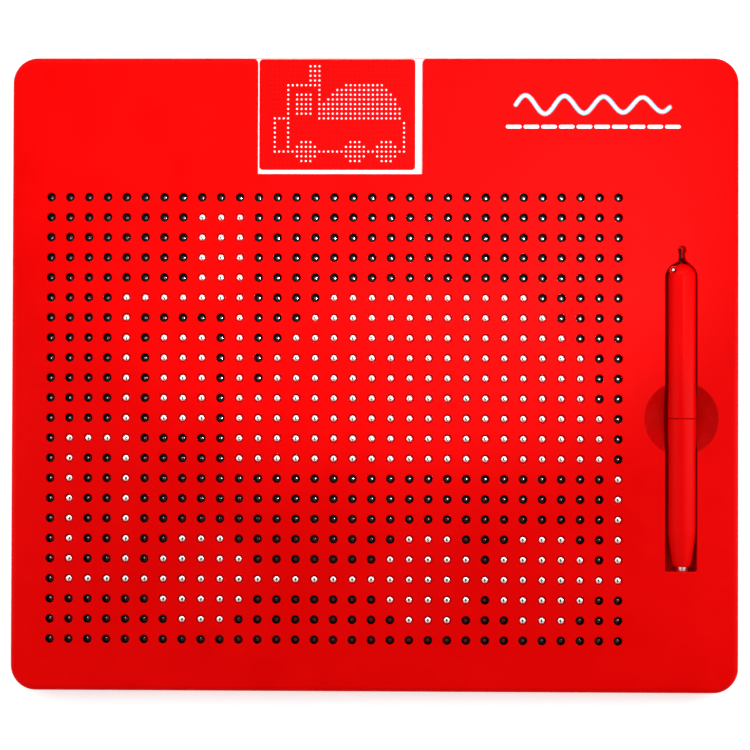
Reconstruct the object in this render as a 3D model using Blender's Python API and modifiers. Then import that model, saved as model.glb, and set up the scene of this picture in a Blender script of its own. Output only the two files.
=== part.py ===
"""Magnetic bead drawing pad with a tethered magnetic stylus and a picture card.

The pad lies on its back: +Z up, +X right, +Y towards the card. All sizes below are in millimetres.
"""

import math

import bmesh
import bpy
from mathutils import Matrix, Vector

MM = 0.001

# Shell
PAD_HALF_X = 158.75
PAD_HALF_Y = 138.4
PAD_CORNER_R = 11.0
PAD_TOP_Z = 13.0
SKIN = 1.2
SKIN_UNDER_Z = PAD_TOP_Z - SKIN
WALL = 2.0
EDGE_R = 2.4
PART_LINE_LOW_Z = 3.0
PART_LINE_HIGH_Z = 3.3
COVER_FLOOR_TOP_Z = 1.6
COVER_CHAMFER = 1.0
LIP_GAP = 0.3
LIP_THICK = 1.3
LIP_TOP_Z = 4.6
CORNER_STEPS = 6

# Bead field
COLUMNS = 31
ROWS = 23
PITCH_X = 8.263
PITCH_Y = 8.777
FIELD_CENTRE_X = -17.6
FIELD_CENTRE_Y = -19.3
HOLE_APOTHEM = 1.875
CELL_APOTHEM = 2.6
BEAD_R = 2.4
BEAD_UP_Z = 10.2
BEAD_TRAVEL = 3.0
BEAD_DOWN_Z = BEAD_UP_Z - BEAD_TRAVEL
CELL_FLOOR_Z = 4.7
TRAY_LOW_Z = 4.0
TRAY_TOP_Z = 11.5
TRAY_MARGIN_X = 5.0
TRAY_MARGIN_LOW_Y = 5.0
TRAY_MARGIN_HIGH_Y = 4.3
ROUND_HOLE_SIDES = 12
BEAD_SEGMENTS = 12
BEAD_RINGS = 6

# The beads that are nodes of their own: a block around the chimney of the picture
BLOCK_COLUMNS = range(6, 12)
BLOCK_ROWS = range(1, 6)
CHIMNEY_COLUMNS = range(8, 11)
CHIMNEY_ROWS = range(1, 5)
CAB_ROOF_COLUMNS = range(4, 11)
CAB_ROOF_ROW = 5
GROUP_UP_CELL = (20, 8)
GROUP_DOWN_CELL = (15, 2)

# Picture card and its pocket
CARD_LEFT_X = -55.0
CARD_RIGHT_X = 24.6
CARD_LOW_Y = 83.9
CARD_HIGH_Y = 138.0
CARD_LOW_Z = 11.0
CARD_THICK = 0.4
CARD_CORNER_R = 2.0
POCKET_GAP = 0.4
POCKET_FLOOR_Z = 10.7
POCKET_BLOCK_LOW_Z = 9.5
POCKET_WALL = 1.5
NOTCH_LEFT_X = -51.1
NOTCH_RIGHT_X = 20.8
NOTCH_LOW_Y = 87.5
NOTCH_MOUTH_R = 2.7

# Stylus slot, finger dish and keyhole
SLOT_LEFT_X = 126.7
SLOT_RIGHT_X = 140.7
SLOT_LOW_Y = -85.6
SLOT_HIGH_Y = 49.3
SLOT_CORNER_R = 1.0
SLOT_FLOOR_Z = 3.1
TROUGH_WALL = 1.5
TROUGH_LOW_Z = 1.9
TROUGH_HIGH_Y = 52.7
SHAFT_HIGH_Y = 51.2
KEY_X = 133.9
KEY_Y = 54.5
KEY_R = 1.85
NECK_HALF = 1.35
KEY_FLOOR_Z = 8.8
KEY_BLOCK_LOW_Z = 7.0
DISH_X = 133.7
DISH_Y = -19.0
DISH_R = 16.3
DISH_BEVEL_R = 15.3
DISH_BEVEL_Z = 12.2
DISH_DEEP_Z = 6.6
DISH_BLOCK_R = 17.9
DISH_BLOCK_LOW_Z = 5.2
DISH_SIDES = 32

# Stylus
STYLUS_X = 134.4
STYLUS_Z = 9.5
STYLUS_R = 6.1
DOME_CENTRE_Y = 42.6
SEAM_Y = -19.0
SEAM_HALF_GAP = 0.15
TAPER_Y = -68.0
NOSE_Y = -83.5
TIP_Y = -85.6
SPIGOT_HIGH_Y = 5.0
SPIGOT_R = 3.9
BORE_R = 4.2
BORE_END_Y = 38.0
MAGNET_R = 2.55
MAGNET_SEAT_R = 2.85
MAGNET_SEAT_Y = -70.0
STYLUS_SIDES = 24
EYELET_X = 130.3
EYELET_Y = 45.8
EYELET_HOLE_R = 0.62
EYELET_SEAT_R = 1.2
EYELET_SEAT_Z = 11.0
LUG_R = 1.75
LUG_LOW_Z = 6.6
LUG_HIGH_Z = 12.4
CRIMP_R = 0.95
CRIMP_Z = 12.1

# Tether cord: the places it passes, from the knot up through the keyhole, down behind the dome,
# along both lower corners of the slot and up into the eyelet
CORD_R = 0.35
ANCHOR_X = 133.4
ANCHOR_Y = 54.7
ANCHOR_HOLE_R = 0.65
KNOT_R = 1.2
KNOT_Z = 5.6
CORD_PLACES = [
    (ANCHOR_X, ANCHOR_Y, 7.1),
    (ANCHOR_X, ANCHOR_Y, 8.2),
    (133.42, 54.45, 9.25),
    (133.55, 53.7, 10.0),
    (133.75, 52.6, 10.3),
    (133.48, 51.3, 10.25),
    (133.35, 50.3, 9.85),
    (133.4, 49.45, 9.0),
    (133.4, 49.2, 7.8),
    (133.4, 49.2, 5.6),
    (133.6, 48.75, 4.3),
    (134.3, 47.9, 3.65),
    (135.8, 46.2, 3.55),
    (137.5, 43.9, 3.55),
    (138.6, 40.0, 3.55),
    (138.8, 30.0, 3.55),
    (138.4, 10.0, 3.55),
    (138.9, -12.0, 3.55),
    (138.5, -34.0, 3.55),
    (138.9, -55.0, 3.55),
    (138.8, -70.0, 3.55),
    (137.5, -75.4, 3.55),
    (134.3, -77.5, 3.55),
    (130.9, -75.6, 3.55),
    (129.5, -70.0, 3.55),
    (129.8, -52.0, 3.55),
    (129.4, -30.0, 3.55),
    (129.9, -8.0, 3.55),
    (129.7, 14.0, 3.55),
    (130.4, 32.0, 3.55),
    (EYELET_X, 41.5, 3.55),
    (EYELET_X, 43.9, 3.65),
    (EYELET_X, 45.2, 4.25),
    (EYELET_X, 45.74, 5.4),
    (EYELET_X, EYELET_Y, 8.0),
    (EYELET_X, EYELET_Y, 10.7),
]
CORD_MOST_STEP = 5.0
CORD_MOST_TURN = 22.0

# Screws, bosses and wells
SCREW_XY = [(-147.5, 127.2), (147.5, 127.2), (-147.5, -127.2), (147.5, -127.2), (-14.0, -129.2), (67.0, 110.0)]
BOSS_R = 3.25
BOSS_LOW_Z = 4.3
PILOT_R = 1.6
PILOT_TOP_Z = 10.4
WELL_R = 4.2
WELL_TOP_Z = 4.0
SEAT_Z = 2.4
COUNTERBORE_R = 2.9
CLEAR_R = 1.65
SCREW_HEAD_R = 2.5
SCREW_HEAD_LOW_Z = 0.4
SCREW_HEAD_TOP_Z = 2.1
SCREW_SHANK_R = 1.25
SCREW_TIP_Z = 9.6
SCREW_SIDES = 12

# Back cover's ribs under the tray
RIB_HALF = 1.0
RIB_TOP_Z = 3.7
RIB_Y = [-95.0, -19.3, 56.0]
RIB_X = [-110.0, -17.6, 75.0]

RED = (0.75, 0.0, 0.0, 1.0)
BLACK = (0.012, 0.012, 0.014, 1.0)
STEEL = (0.78, 0.78, 0.8, 1.0)
WHITE = (0.9, 0.9, 0.9, 1.0)


def clear_scene():
    for obj in list(bpy.data.objects):
        bpy.data.objects.remove(obj, do_unlink=True)


def new_collection(name):
    made = bpy.data.collections.new(name)
    bpy.context.scene.collection.children.link(made)
    return made


def new_material(name, colour, metallic, roughness):
    made = bpy.data.materials.new(name)
    made.use_nodes = True
    shader = made.node_tree.nodes["Principled BSDF"]
    shader.inputs["Base Color"].default_value = colour
    shader.inputs["Metallic"].default_value = metallic
    shader.inputs["Roughness"].default_value = roughness
    return made


def new_axis(name, place):
    """An empty on a moving body's axis, which its pieces hang from."""
    axis = bpy.data.objects.new(name, None)
    axis.location = Vector(place) * MM
    axis.empty_display_size = 0.01
    parts.objects.link(axis)
    return axis


def helper(name, mesh, place):
    """An object in the cutters collection, hidden until it becomes a part."""
    obj = bpy.data.objects.new(name, mesh)
    obj.location = Vector(place) * MM
    obj.hide_render = True
    obj.display_type = "WIRE"
    cutters.objects.link(obj)
    return obj


def finish(name, work, place):
    mesh = bpy.data.meshes.new(name)
    work.to_mesh(mesh)
    work.free()
    mesh.shade_smooth()
    mesh.set_sharp_from_angle(angle=math.radians(35))
    return helper(name, mesh, place)


def make_part(obj, colour, metallic=0.0, roughness=0.4, axis=None):
    """Moves a finished solid from the cutters collection to the parts."""
    cutters.objects.unlink(obj)
    parts.objects.link(obj)
    obj.hide_render = False
    obj.display_type = "TEXTURED"
    obj.data.materials.append(new_material(obj.name, colour, metallic, roughness))
    if axis:
        obj.parent = axis
        obj.location -= axis.location


def combine(obj, other, operation):
    modifier = obj.modifiers.new(other.name, "BOOLEAN")
    modifier.operation = operation
    modifier.solver = "EXACT"
    modifier.object = other


def box_mesh(low, high):
    """A bmesh box about its own middle, and that middle."""
    size = Vector(high) - Vector(low)
    work = bmesh.new()
    bmesh.ops.create_cube(work, size=1.0, matrix=Matrix.Diagonal((*(size * MM), 1.0)))
    return work, (Vector(high) + Vector(low)) / 2


def box(name, low, high):
    work, middle = box_mesh(low, high)
    return finish(name, work, middle)


def bevel_edges(work, chosen, offset, steps):
    edges = [edge for edge in work.edges if chosen(edge)]
    bmesh.ops.bevel(
        work,
        geom=edges,
        offset=offset * MM,
        offset_type="OFFSET",
        segments=steps,
        profile=0.5,
        affect="EDGES",
        clamp_overlap=True,
    )


def is_upright(edge):
    a, b = edge.verts
    return abs(a.co.z - b.co.z) > abs(a.co.x - b.co.x) + abs(a.co.y - b.co.y)


def rounded_box(name, low, high, corner_r, steps):
    """A box with rounded upright corners."""
    work, middle = box_mesh(low, high)
    bevel_edges(work, is_upright, corner_r, steps)
    return finish(name, work, middle)


def pad_slab(name, inset, low_z, high_z, edge=0.0, steps=1, side=1):
    """A slab of the pad's outline; the edge of its top (side 1) or underside (side -1) can be rounded."""
    half = Vector((PAD_HALF_X - inset, PAD_HALF_Y - inset, 0))
    work, middle = box_mesh(Vector((0, 0, low_z)) - half, Vector((0, 0, high_z)) + half)
    bevel_edges(work, is_upright, PAD_CORNER_R - inset, CORNER_STEPS)
    if edge:
        level = side * (high_z - low_z) / 2 * MM
        bevel_edges(work, lambda e: all(abs(v.co.z - level) < 1e-6 for v in e.verts), edge, steps)
    return finish(name, work, middle)


def cylinder(name, centre, radius, low_z, high_z, sides=16):
    work = bmesh.new()
    bmesh.ops.create_cone(
        work,
        cap_ends=True,
        segments=sides,
        radius1=radius * MM,
        radius2=radius * MM,
        depth=(high_z - low_z) * MM,
    )
    return finish(name, work, (centre[0], centre[1], (low_z + high_z) / 2))


def ball(name, centre, radius):
    work = bmesh.new()
    bmesh.ops.create_uvsphere(work, u_segments=BEAD_SEGMENTS, v_segments=BEAD_RINGS, radius=radius * MM)
    return finish(name, work, centre)


def baked(guide):
    """A closed bmesh of the helper as the viewport shows it; the helper is removed."""
    bpy.context.view_layer.update()
    mesh = bpy.data.meshes.new_from_object(guide.evaluated_get(bpy.context.evaluated_depsgraph_get()))
    work = bmesh.new()
    work.from_mesh(mesh)
    bmesh.ops.remove_doubles(work, verts=work.verts, dist=1e-6)
    bmesh.ops.recalc_face_normals(work, faces=work.faces)
    bpy.data.objects.remove(guide)
    bpy.data.meshes.remove(mesh)
    return work


def turned(name, profile, place, sides, along_y=False):
    """A profile of (radius, height) points, from top to bottom, turned about its own upright axis or about Y."""
    line = bpy.data.meshes.new(name + "_profile")
    points = [(radius * MM, 0, height * MM) for radius, height in profile]
    line.from_pydata(points, [(i, i + 1) for i in range(len(points) - 1)], [])
    guide = helper(name + "_profile", line, (0, 0, 0))
    screw = guide.modifiers.new("Turn", "SCREW")
    screw.axis = "Z"
    screw.angle = math.tau
    screw.steps = sides
    screw.render_steps = sides
    screw.use_merge_vertices = True
    screw.merge_threshold = 0.00001
    obj = finish(name, baked(guide), place)
    if along_y:
        obj.rotation_euler = (math.radians(-90), 0, 0)
    return obj


def plate(name, outline, low_z, high_z):
    """A flat outline with thickness, made a mesh so that it can cut."""
    curve = bpy.data.curves.new(name, "CURVE")
    curve.dimensions = "2D"
    curve.fill_mode = "BOTH"
    curve.extrude = (high_z - low_z) / 2 * MM
    spline = curve.splines.new("POLY")
    spline.points.add(len(outline) - 1)
    for point, (x, y) in zip(spline.points, outline):
        point.co = (x * MM, y * MM, 0, 1)
    spline.use_cyclic_u = True
    guide = helper(name + "_outline", curve, (0, 0, 0))
    return finish(name, baked(guide), (0, 0, (low_z + high_z) / 2))


def arc(centre, radius, start, end, steps):
    """Points on a circle from one angle to another, in degrees."""
    angles = [math.radians(start + (end - start) * i / steps) for i in range(steps + 1)]
    return [(centre[0] + radius * math.cos(a), centre[1] + radius * math.sin(a)) for a in angles]


def cell_xy(column, row):
    x = FIELD_CENTRE_X + (column - (COLUMNS - 1) / 2) * PITCH_X
    y = FIELD_CENTRE_Y - (row - (ROWS - 1) / 2) * PITCH_Y
    return (x, y)


def is_up(column, row):
    in_chimney = column in CHIMNEY_COLUMNS and row in CHIMNEY_ROWS
    in_roof = column in CAB_ROOF_COLUMNS and row == CAB_ROOF_ROW
    return in_chimney or in_roof


def block_cells():
    return [(column, row) for row in BLOCK_ROWS for column in BLOCK_COLUMNS]


def cell_cutter(name, apothem, low_z, high_z):
    """One cutter with an upright prism at every built cell; the prisms' flats touch the apothem's circle."""
    radius = apothem / math.cos(math.pi / ROUND_HOLE_SIDES)
    work = bmesh.new()
    for cell in block_cells() + [GROUP_UP_CELL, GROUP_DOWN_CELL]:
        bmesh.ops.create_cone(
            work,
            cap_ends=True,
            segments=ROUND_HOLE_SIDES,
            radius1=radius * MM,
            radius2=radius * MM,
            depth=(high_z - low_z) * MM,
            matrix=Matrix.Translation(Vector((*cell_xy(*cell), 0)) * MM),
        )
    return finish(name, work, (0, 0, (low_z + high_z) / 2))


def slot_outline():
    """The slot's full-depth outline, with the shaft for the cord at the top of its arch."""
    half = (SLOT_RIGHT_X - SLOT_LEFT_X) / 2
    centre = (SLOT_LEFT_X + half, SLOT_HIGH_Y - half)
    outline = arc((SLOT_LEFT_X + SLOT_CORNER_R, SLOT_LOW_Y + SLOT_CORNER_R), SLOT_CORNER_R, 180, 270, 3)
    outline += arc((SLOT_RIGHT_X - SLOT_CORNER_R, SLOT_LOW_Y + SLOT_CORNER_R), SLOT_CORNER_R, 270, 360, 3)
    outline += arc(centre, half, 0, 52, 5)
    outline += [(136.5, 49.15), (135.7, 50.15), (KEY_X + NECK_HALF, SHAFT_HIGH_Y)]
    outline += [(KEY_X - NECK_HALF, SHAFT_HIGH_Y), (132.35, 50.3)]
    outline += arc(centre, half, 108, 180, 7)
    return outline


def keyhole_outline():
    start = -math.degrees(math.acos(NECK_HALF / KEY_R))
    outline = [(KEY_X - NECK_HALF, SHAFT_HIGH_Y - 0.4), (KEY_X + NECK_HALF, SHAFT_HIGH_Y - 0.4)]
    return outline + arc((KEY_X, KEY_Y), KEY_R, start, 180 - start, 12)


def notch_outline():
    outside = PAD_HALF_Y + 5
    turn_y = PAD_HALF_Y - NOTCH_MOUTH_R
    right = arc((NOTCH_RIGHT_X + NOTCH_MOUTH_R, turn_y), NOTCH_MOUTH_R, 180, 90, 4)
    left = arc((NOTCH_LEFT_X - NOTCH_MOUTH_R, turn_y), NOTCH_MOUTH_R, 90, 0, 4)
    outline = [(NOTCH_LEFT_X, NOTCH_LOW_Y), (NOTCH_RIGHT_X, NOTCH_LOW_Y)] + right
    outline += [(right[-1][0] + 0.3, outside), (left[0][0] - 0.3, outside)]
    return outline + left


def dish_profile():
    """From the clear air above, down the bevelled rim and the spherical bowl to its deepest point."""
    deep = DISH_BEVEL_Z - DISH_DEEP_Z
    sphere_r = (DISH_BEVEL_R**2 + deep**2) / (2 * deep)
    profile = [(0, PAD_TOP_Z + 1), (DISH_R + 1.5, PAD_TOP_Z + 1), (DISH_R, PAD_TOP_Z)]
    for step in range(5, -1, -1):
        r = DISH_BEVEL_R * step / 5
        profile.append((r, DISH_DEEP_Z + sphere_r - math.sqrt(sphere_r**2 - r**2)))
    return profile


def build_front_panel():
    """The moulded front: skin, side walls, card pocket, stylus trough, dish, keyhole and screw bosses."""
    panel = pad_slab("front_panel", 0, PART_LINE_HIGH_Z, PAD_TOP_Z, EDGE_R, 3)
    hollow = pad_slab("panel_hollow", WALL, PART_LINE_HIGH_Z - 2, SKIN_UNDER_Z)
    combine(panel, hollow, "DIFFERENCE")
    into_skin = SKIN_UNDER_Z + 0.3
    added = [
        box(
            "trough_block",
            (SLOT_LEFT_X - TROUGH_WALL, SLOT_LOW_Y - TROUGH_WALL, TROUGH_LOW_Z),
            (SLOT_RIGHT_X + TROUGH_WALL, TROUGH_HIGH_Y, into_skin),
        ),
        box("key_block", (130.4, TROUGH_HIGH_Y - 1, KEY_BLOCK_LOW_Z), (137.4, 58.1, into_skin)),
        cylinder("dish_block", (DISH_X, DISH_Y), DISH_BLOCK_R, DISH_BLOCK_LOW_Z, into_skin, DISH_SIDES),
        box(
            "pocket_block",
            (CARD_LEFT_X - POCKET_GAP - POCKET_WALL, CARD_LOW_Y - 1.7, POCKET_BLOCK_LOW_Z),
            (CARD_RIGHT_X + POCKET_GAP + POCKET_WALL, PAD_HALF_Y - 1, into_skin),
        ),
    ]
    for number, centre in enumerate(SCREW_XY, 1):
        added.append(cylinder(f"boss_{number}", centre, BOSS_R, BOSS_LOW_Z, into_skin, SCREW_SIDES))
    for block in added:
        combine(panel, block, "UNION")
    above = PAD_TOP_Z + 2
    cut = [
        plate("slot_cut", slot_outline(), SLOT_FLOOR_Z, above),
        plate("keyhole_cut", keyhole_outline(), KEY_FLOOR_Z, above),
        cylinder("anchor_cut", (ANCHOR_X, ANCHOR_Y), ANCHOR_HOLE_R, KEY_BLOCK_LOW_Z - 1, KEY_FLOOR_Z + 1, 8),
        turned("dish_cut", dish_profile(), (DISH_X, DISH_Y, 0), DISH_SIDES),
        box(
            "pocket_cut",
            (CARD_LEFT_X - POCKET_GAP, CARD_LOW_Y - POCKET_GAP, POCKET_FLOOR_Z),
            (CARD_RIGHT_X + POCKET_GAP, PAD_HALF_Y + 5, SKIN_UNDER_Z),
        ),
        plate("notch_cut", notch_outline(), POCKET_FLOOR_Z + 0.2, above),
        cell_cutter("hole_cut", HOLE_APOTHEM, SKIN_UNDER_Z - 1, above),
    ]
    for number, centre in enumerate(SCREW_XY, 1):
        cut.append(cylinder(f"pilot_{number}", centre, PILOT_R, BOSS_LOW_Z - 1, PILOT_TOP_Z, SCREW_SIDES))
    for cutter in cut:
        combine(panel, cutter, "DIFFERENCE")
    make_part(panel, RED)


def build_bead_tray():
    """The black tray behind the skin, with a blind cell for each built bead."""
    left, high = cell_xy(0, 0)
    right, low = cell_xy(COLUMNS - 1, ROWS - 1)
    tray = box(
        "bead_tray",
        (left - TRAY_MARGIN_X, low - TRAY_MARGIN_LOW_Y, TRAY_LOW_Z),
        (right + TRAY_MARGIN_X, high + TRAY_MARGIN_HIGH_Y, TRAY_TOP_Z),
    )
    combine(tray, cell_cutter("cell_cut", CELL_APOTHEM, CELL_FLOOR_Z, TRAY_TOP_Z + 1), "DIFFERENCE")
    make_part(tray, BLACK, roughness=0.6)


def build_back_cover():
    """The back: a floor with a chamfered rim, a locating lip, ribs under the tray and screw wells."""
    inner = WALL + LIP_GAP
    cover = pad_slab("back_cover", 0, 0, PART_LINE_LOW_Z, COVER_CHAMFER, 1, -1)
    combine(cover, pad_slab("lip", inner, PART_LINE_LOW_Z - 1, LIP_TOP_Z), "UNION")
    combine(cover, pad_slab("cover_hollow", inner + LIP_THICK, COVER_FLOOR_TOP_Z, LIP_TOP_Z + 2), "DIFFERENCE")
    left, high = cell_xy(0, 0)
    right, low = cell_xy(COLUMNS - 1, ROWS - 1)
    into_floor = COVER_FLOOR_TOP_Z - 0.4
    for number, y in enumerate(RIB_Y, 1):
        rib = box(f"long_rib_{number}", (left, y - RIB_HALF, into_floor), (right, y + RIB_HALF, RIB_TOP_Z))
        combine(cover, rib, "UNION")
    for number, x in enumerate(RIB_X, 1):
        rib = box(f"cross_rib_{number}", (x - RIB_HALF, low, into_floor), (x + RIB_HALF, high, RIB_TOP_Z - 0.1))
        combine(cover, rib, "UNION")
    for number, centre in enumerate(SCREW_XY, 1):
        combine(cover, cylinder(f"well_{number}", centre, WELL_R, into_floor, WELL_TOP_Z), "UNION")
    for number, centre in enumerate(SCREW_XY, 1):
        combine(cover, cylinder(f"seat_{number}", centre, COUNTERBORE_R, -1, SEAT_Z, SCREW_SIDES), "DIFFERENCE")
        combine(cover, cylinder(f"clear_{number}", centre, CLEAR_R, -1, WELL_TOP_Z + 1, SCREW_SIDES), "DIFFERENCE")
    make_part(cover, RED)


def build_card():
    card = rounded_box(
        "picture_card",
        (CARD_LEFT_X, CARD_LOW_Y, CARD_LOW_Z),
        (CARD_RIGHT_X, CARD_HIGH_Y, CARD_LOW_Z + CARD_THICK),
        CARD_CORNER_R,
        3,
    )
    make_part(card, WHITE, roughness=0.7)


def build_beads():
    """One steel ball in each built cell, up where the picture has a dot and down elsewhere."""
    for column, row in block_cells():
        z = BEAD_UP_Z if is_up(column, row) else BEAD_DOWN_Z
        bead = ball(f"bead_r{row:02d}_c{column:02d}", (*cell_xy(column, row), z), BEAD_R)
        make_part(bead, STEEL, 1.0, 0.2)
    make_part(ball("beads_up", (*cell_xy(*GROUP_UP_CELL), BEAD_UP_Z), BEAD_R), STEEL, 1.0, 0.2)
    make_part(ball("beads_down", (*cell_xy(*GROUP_DOWN_CELL), BEAD_DOWN_Z), BEAD_R), STEEL, 1.0, 0.2)


def build_stylus():
    """Two barrel halves joined by a spigot, a magnet in the nose and a ball crimp in the eyelet lug of the dome."""
    place = (STYLUS_X, 0, STYLUS_Z)
    lift = new_axis("stylus_lift", (STYLUS_X, SEAM_Y, STYLUS_Z))
    rear_end = SEAM_Y + SEAM_HALF_GAP
    rear_profile = [(r, y + DOME_CENTRE_Y) for r, y in arc((0, 0), STYLUS_R, 90, 0, 5)]
    rear_profile[0] = (0, DOME_CENTRE_Y + STYLUS_R)
    rear_profile += [(STYLUS_R, rear_end), (BORE_R, rear_end), (BORE_R, BORE_END_Y), (0, BORE_END_Y)]
    rear = turned("stylus_rear_barrel", rear_profile, place, STYLUS_SIDES, along_y=True)
    eyelet = (EYELET_X, EYELET_Y)
    combine(rear, cylinder("eyelet_lug", eyelet, LUG_R, LUG_LOW_Z, LUG_HIGH_Z), "UNION")
    combine(rear, cylinder("crimp_seat", eyelet, EYELET_SEAT_R, EYELET_SEAT_Z, 17.0, 12), "DIFFERENCE")
    combine(rear, cylinder("eyelet_hole", eyelet, EYELET_HOLE_R, 2.0, EYELET_SEAT_Z + 1, 8), "DIFFERENCE")
    make_part(rear, RED, axis=lift)
    front_end = SEAM_Y - SEAM_HALF_GAP
    front_profile = [
        (0, -66.0),
        (3.0, -66.0),
        (3.0, SPIGOT_HIGH_Y),
        (SPIGOT_R, SPIGOT_HIGH_Y),
        (SPIGOT_R, front_end),
        (STYLUS_R, front_end),
        (STYLUS_R, TAPER_Y),
        (5.25, -75.0),
        (4.3, -81.1),
        (3.7, -82.8),
        (3.1, NOSE_Y),
        (MAGNET_SEAT_R, NOSE_Y),
        (MAGNET_SEAT_R, MAGNET_SEAT_Y),
        (0, MAGNET_SEAT_Y),
    ]
    make_part(turned("stylus_front_barrel", front_profile, place, STYLUS_SIDES, along_y=True), RED, axis=lift)
    magnet_top = MAGNET_SEAT_Y - 0.3
    magnet_profile = [
        (0, magnet_top),
        (MAGNET_R, magnet_top),
        (MAGNET_R, TIP_Y + 0.3),
        (MAGNET_R - 0.3, TIP_Y),
        (0, TIP_Y),
    ]
    magnet = turned("stylus_magnet", magnet_profile, place, 16, along_y=True)
    make_part(magnet, STEEL, 1.0, 0.25, axis=lift)
    make_part(ball("cord_crimp", (EYELET_X, EYELET_Y, CRIMP_Z), CRIMP_R), STEEL, 1.0, 0.25, axis=lift)


def smooth_through(places):
    """Closely spaced points of the centripetal Catmull-Rom curve through the places."""
    route = [Vector(p) for p in places]
    route = [2 * route[0] - route[1]] + route + [2 * route[-1] - route[-2]]
    points = [route[1]]
    for a, b, c, d in zip(route, route[1:], route[2:], route[3:]):
        t1 = (b - a).length ** 0.5
        t2 = t1 + (c - b).length ** 0.5
        t3 = t2 + (d - c).length ** 0.5
        for step in range(1, 31):
            t = t1 + (t2 - t1) * step / 30
            ab = a.lerp(b, t / t1)
            bc = b.lerp(c, (t - t1) / (t2 - t1))
            cd = c.lerp(d, (t - t2) / (t3 - t2))
            points.append(ab.lerp(bc, t / t2).lerp(bc.lerp(cd, (t - t1) / (t3 - t1)), (t - t1) / (t2 - t1)))
    return points


def cord_route():
    """The smooth curve's points, thinned to one for every few millimetres or degrees of turn."""
    fine = smooth_through(CORD_PLACES)
    kept = [fine[0]]
    length = 0.0
    turn = 0.0
    for before, here, after in zip(fine, fine[1:], fine[2:]):
        length += (here - before).length
        turn += math.degrees((after - here).angle(here - before))
        if length > CORD_MOST_STEP or turn > CORD_MOST_TURN:
            kept.append(here)
            length = 0.0
            turn = 0.0
    return kept + [fine[-1]]


def build_cord():
    curve = bpy.data.curves.new("tether_cord", "CURVE")
    curve.dimensions = "3D"
    curve.bevel_depth = CORD_R * MM
    curve.bevel_resolution = 2
    curve.use_fill_caps = True
    route = cord_route()
    spline = curve.splines.new("POLY")
    spline.points.add(len(route) - 1)
    for point, place in zip(spline.points, route):
        point.co = (*(place * MM), 1.0)
    make_part(helper("tether_cord", curve, (0, 0, 0)), BLACK, 0.0, 0.8)
    make_part(ball("cord_knot", (ANCHOR_X, ANCHOR_Y, KNOT_Z), KNOT_R), BLACK, 0.0, 0.8)


def build_screws():
    """Self-tapping screws from the back, each with a square drive recess."""
    profile = [
        (0, SCREW_TIP_Z),
        (SCREW_SHANK_R, SCREW_TIP_Z - 1.2),
        (SCREW_SHANK_R, SCREW_HEAD_TOP_Z),
        (SCREW_HEAD_R, SCREW_HEAD_TOP_Z),
        (SCREW_HEAD_R, SCREW_HEAD_LOW_Z + 0.5),
        (SCREW_HEAD_R - 0.4, SCREW_HEAD_LOW_Z),
        (0, SCREW_HEAD_LOW_Z),
    ]
    for number, (x, y) in enumerate(SCREW_XY, 1):
        screw = turned(f"screw_{number}", profile, (x, y, 0), SCREW_SIDES)
        drive = box(f"drive_{number}", (x - 0.8, y - 0.8, -1), (x + 0.8, y + 0.8, SCREW_HEAD_LOW_Z + 0.9))
        combine(screw, drive, "DIFFERENCE")
        make_part(screw, STEEL, 1.0, 0.35)


clear_scene()
parts = new_collection("MagneticBeadPad")
cutters = new_collection("Cutters")
build_front_panel()
build_bead_tray()
build_back_cover()
build_card()
build_beads()
build_stylus()
build_cord()
build_screws()
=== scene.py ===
"""Looks of the magnetic bead drawing pad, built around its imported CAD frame.

Places and sizes are in millimetres, read from the frame where it holds them. +Z is up out of the pad's face,
+X is right, and +Y points to the picture card.
"""

import math

import bmesh
import bpy
import numpy as np
from mathutils import Matrix, Vector


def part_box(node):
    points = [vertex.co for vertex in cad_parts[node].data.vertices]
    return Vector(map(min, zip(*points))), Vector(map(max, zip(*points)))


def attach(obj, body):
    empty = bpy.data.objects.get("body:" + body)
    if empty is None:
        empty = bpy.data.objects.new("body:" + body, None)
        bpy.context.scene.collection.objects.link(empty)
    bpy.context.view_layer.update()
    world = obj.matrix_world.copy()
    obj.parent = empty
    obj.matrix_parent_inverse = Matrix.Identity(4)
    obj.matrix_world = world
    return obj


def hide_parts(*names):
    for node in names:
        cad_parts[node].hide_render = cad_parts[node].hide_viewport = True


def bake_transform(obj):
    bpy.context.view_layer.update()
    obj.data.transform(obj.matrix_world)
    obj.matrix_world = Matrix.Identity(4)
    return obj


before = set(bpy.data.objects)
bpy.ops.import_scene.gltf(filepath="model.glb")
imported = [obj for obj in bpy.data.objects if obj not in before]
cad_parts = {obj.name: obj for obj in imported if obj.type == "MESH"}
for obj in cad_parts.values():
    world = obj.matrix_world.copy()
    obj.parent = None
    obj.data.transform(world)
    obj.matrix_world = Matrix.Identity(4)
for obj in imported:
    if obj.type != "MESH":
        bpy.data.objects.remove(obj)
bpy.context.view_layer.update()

MM = 0.001


def node_box(name):
    """The lowest and highest corner of a CAD node, in millimetres."""
    low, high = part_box(name)
    return low / MM, high / MM


PANEL_HIGH = node_box("front_panel")[1]
TRAY_LOW, TRAY_HIGH = node_box("bead_tray")
CARD_LOW, CARD_HIGH = node_box("picture_card")
REAR_LOW, REAR_HIGH = node_box("stylus_rear_barrel")
FRONT_LOW, FRONT_HIGH = node_box("stylus_front_barrel")
MAGNET_LOW, MAGNET_HIGH = node_box("stylus_magnet")
CRIMP_LOW, CRIMP_HIGH = node_box("cord_crimp")
KNOT_LOW, KNOT_HIGH = node_box("cord_knot")

# Shell
PAD_HALF_X = PANEL_HIGH.x
PAD_HALF_Y = PANEL_HIGH.y
PAD_TOP_Z = 13.0
CORNER_R = 11.0
CORNER_STEPS = 20
SKIN_UNDER_Z = 11.8
WALL = 2.0
EDGE_R = 2.4
EDGE_STEPS = 8
PART_LINE_Z = 3.3
PART_LINE_CHAMFER = 0.25
WELD = 0.3

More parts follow.
